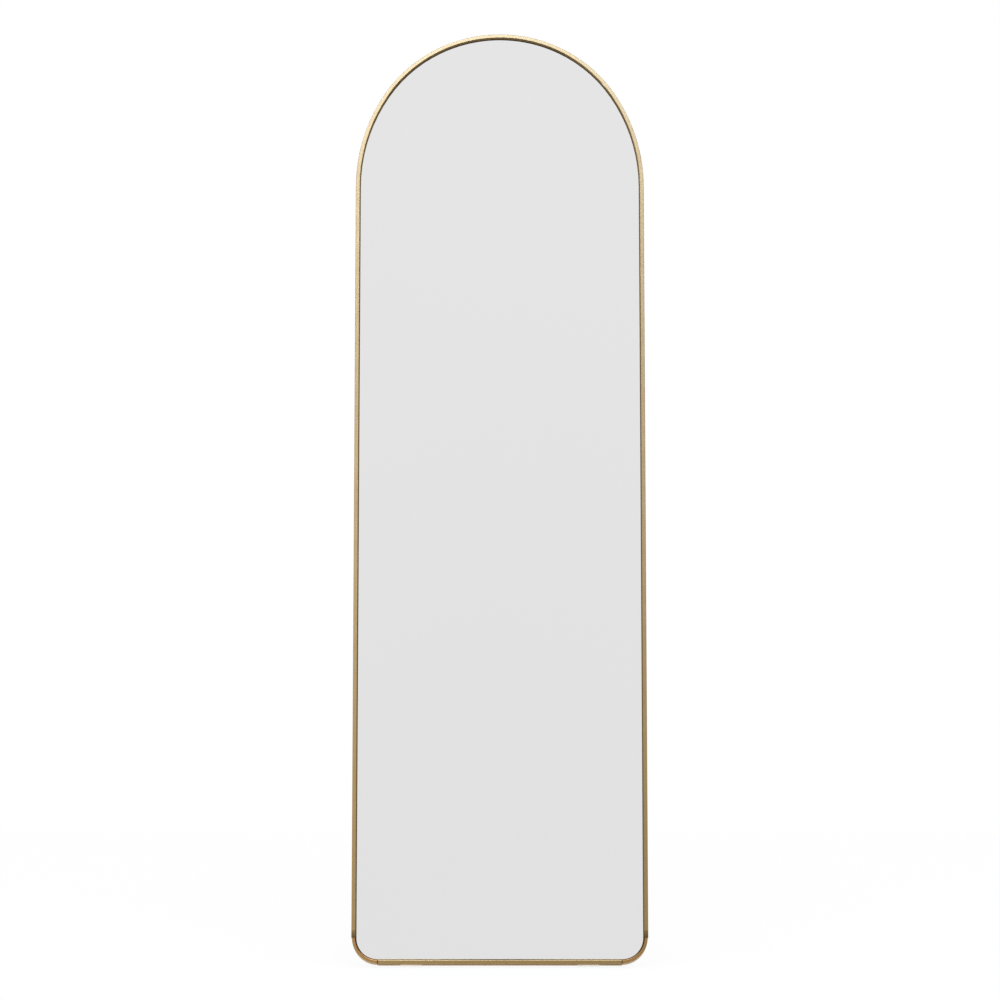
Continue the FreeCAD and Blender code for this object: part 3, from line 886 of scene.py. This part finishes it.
def white_floor():
    """Matt white paper floor: it holds a faint shadow, and shows white where nothing shades it."""
    material, tree, shader = new_material("white_paper_floor", metallic=0.0, ior=1.5)
    vary_colour(
        tree, shader, object_place(tree), linear("F2F2F2"), linear("EEEEEE"), size_mm=300.0
    )
    shader.inputs["Roughness"].default_value = 0.9
    rays = add_node(tree, "ShaderNodeLightPath")
    seen = add_node(
        tree,
        "ShaderNodeMath",
        {0: rays.outputs["Is Camera Ray"], 1: rays.outputs["Is Transmission Ray"]},
        operation="MAXIMUM",
    )
    straight = add_node(tree, "ShaderNodeMath", {0: seen, 1: FLOOR_SEEN}, operation="MULTIPLY")
    # Metal and glass mirror it with more of the shade close to the frame.
    mirrored = add_node(
        tree,
        "ShaderNodeMath",
        {0: rays.outputs["Is Glossy Ray"], 1: FLOOR_MIRRORED},
        operation="MULTIPLY",
    )
    share = add_node(tree, "ShaderNodeMath", {0: straight, 1: mirrored}, operation="MAXIMUM")
    white = add_node(tree, "ShaderNodeEmission", {"Strength": FLOOR_WHITE})
    mixed = add_node(tree, "ShaderNodeMixShader", {0: share, 1: shader, 2: white})
    feed(tree, tree.nodes["Material Output"].inputs["Surface"], mixed)
    return material


def lay_floor(size):
    """A flat floor under the mirror."""
    mesh = bpy.data.meshes.new("studio_floor")
    half = size / 2
    corners = [(-half, -half, 0.0), (half, -half, 0.0), (half, half, 0.0), (-half, half, 0.0)]
    mesh.from_pydata(corners, [], [(0, 1, 2, 3)])
    mesh.materials.append(white_floor())
    floor = bpy.data.objects.new("studio_floor", mesh)
    bpy.context.scene.collection.objects.link(floor)


def light_world(context):
    """White for the camera, even light for matt surfaces, and a studio for gloss to mirror.

    Each part of the studio is painted over the ones before it, by the direction of the ray.
    """
    world = bpy.data.worlds.new("studio")
    context.scene.world = world
    world.use_nodes = True
    # An even light needs no importance map.
    world.cycles.sampling_method = "NONE"
    tree = world.node_tree
    tree.nodes.clear()
    direction = add_node(tree, "ShaderNodeTexCoord").outputs["Generated"]
    axes = add_node(tree, "ShaderNodeSeparateXYZ", {"Vector": direction})
    across = axes.outputs["X"]
    height = axes.outputs["Z"]
    aside = add_node(tree, "ShaderNodeMath", {0: across}, operation="ABSOLUTE")
    # Low in front stands the dark end of the studio, with the camera; it is paler beside it.
    low = fade(tree, aside, CAMERA_SIDES, grey(DARK_END), grey(BESIDE_CAMERA))
    # Above it is the plain wall that the glass shows.
    wall = fade(tree, height, WALL_SHADES, grey(WALL_LOW), grey(WALL_HIGH))
    studio = fade(tree, height, WALL_FOOT, low, wall)
    # Above that hangs the soft box, a lamp of its own, with the cool ceiling behind it.
    studio = fade(tree, height, CEILING_FOOT, studio, opaque(CEILING))
    # The upper corners beside the soft box are unlit.
    corner = fade(tree, height, CORNER_FOOT, studio, grey(UNLIT_CORNER))
    studio = fade(tree, aside, CORNER_SIDES, studio, corner)
    # The side walls are plain, the left one nearer the light.
    walls = fade(tree, across, LEFT_TO_RIGHT, grey(LEFT_WALL), grey(RIGHT_WALL))
    studio = fade(tree, aside, SIDE_WALLS, studio, walls)
    # Behind the mirror hangs the white backdrop.
    studio = fade(tree, axes.outputs["Y"], BACKDROP, studio, grey(1.0))
    rays = add_node(tree, "ShaderNodeLightPath")
    mirrored = add_node(
        tree,
        "ShaderNodeMath",
        {0: rays.outputs["Is Glossy Ray"], 1: rays.outputs["Is Transmission Ray"]},
        operation="MAXIMUM",
    )
    plain = add_node(
        tree,
        "ShaderNodeMix",
        {0: rays.outputs["Is Camera Ray"], COLOUR_A: grey(EVEN_LIGHT), COLOUR_B: grey(1.0)},
        data_type="RGBA",
    )
    seen = add_node(
        tree, "ShaderNodeMix", {0: mirrored, COLOUR_A: plain, COLOUR_B: studio}, data_type="RGBA"
    )
    background = add_node(tree, "ShaderNodeBackground", {"Color": seen, "Strength": 1.0})
    add_node(tree, "ShaderNodeOutputWorld", {"Surface": background})


def hang_lamp(name, place, size, power, colour):
    """A soft rectangular lamp that points at the middle of the mirror."""
    data = bpy.data.lights.new(name, "AREA")
    data.shape = "RECTANGLE"
    data.size, data.size_y = size
    data.energy = power
    data.color = colour
    lamp = bpy.data.objects.new(name, data)
    lamp.location = place
    aim = Vector(LAMP_TARGET) - Vector(place)
    lamp.rotation_euler = aim.to_track_quat("-Z", "Y").to_euler()
    bpy.context.scene.collection.objects.link(lamp)
    return lamp


def stand_camera(studio):
    """The photograph's camera: level, straight on, far away, with a long lens."""
    front_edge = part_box("bottom_rail")[0].y
    data = bpy.data.cameras.new("photo_camera")
    data.sensor_width = SENSOR_WIDTH
    data.lens = studio.camera_lens
    data.shift_x = CAMERA_SHIFT_X
    data.shift_y = CAMERA_SHIFT_Y
    camera = bpy.data.objects.new("photo_camera", data)
    camera.location = (0.0, front_edge - studio.camera_distance, studio.camera_height)
    camera.rotation_euler = (math.radians(90), 0.0, 0.0)
    bpy.context.scene.collection.objects.link(camera)
    bpy.context.scene.camera = camera


class MIRROR_OT_stage(bpy.types.Operator):
    """Lay the floor, light the studio and place the camera"""

    bl_idname = "floor_mirror.stage"
    bl_label = "Studio"

    def execute(self, context):
        studio = context.scene.mirror_studio
        context.scene.view_settings.view_transform = "Standard"
        lay_floor(studio.floor_size)
        light_world(context)
        # Matt surfaces are lit by this lamp alone, and metal and glass don't mirror it.
        front_lamp = hang_lamp(
            "front_lamp",
            FRONT_LAMP_PLACE,
            FRONT_LAMP_SIZE,
            studio.front_lamp_power,
            FRONT_LAMP_COLOUR,
        )
        front_lamp.visible_glossy = False
        # The soft box is there only to be mirrored.
        soft_box = hang_lamp(
            "soft_box", SOFT_BOX_PLACE, SOFT_BOX_SIZE, studio.soft_box_power, SOFT_BOX_COLOUR
        )
        soft_box.visible_diffuse = False
        stand_camera(studio)
        return {"FINISHED"}


# Panel and registration


class MIRROR_PT_pieces(bpy.types.Panel):
    bl_idname = "MIRROR_PT_pieces"
    bl_label = "Floor Mirror"
    bl_space_type = "VIEW_3D"
    bl_region_type = "UI"
    bl_category = "Floor Mirror"

    def draw(self, context):
        layout = self.layout
        for settings in (context.scene.mirror_colours, context.scene.mirror_studio):
            for name in settings.__annotations__:
                layout.prop(settings, name)
        for operator in OPERATORS:
            layout.operator(operator.bl_idname)


OPERATORS = (
    MIRROR_OT_rails,
    MIRROR_OT_elbows,
    MIRROR_OT_glass,
    MIRROR_OT_sheets,
    MIRROR_OT_fittings,
    MIRROR_OT_fasteners,
    MIRROR_OT_stand,
    MIRROR_OT_feet,
    MIRROR_OT_stage,
)
CLASSES = (MirrorColours, MirrorStudio) + OPERATORS + (MIRROR_PT_pieces,)


def register():
    for each in CLASSES:
        bpy.utils.register_class(each)
    bpy.types.Scene.mirror_colours = PointerProperty(type=MirrorColours)
    bpy.types.Scene.mirror_studio = PointerProperty(type=MirrorStudio)


def unregister():
    del bpy.types.Scene.mirror_studio
    del bpy.types.Scene.mirror_colours
    for each in reversed(CLASSES):
        bpy.utils.unregister_class(each)


def main():
    register()
    for operator in OPERATORS:
        group, name = operator.bl_idname.split(".")
        getattr(getattr(bpy.ops, group), name)()


if __name__ == "__main__":
    main()
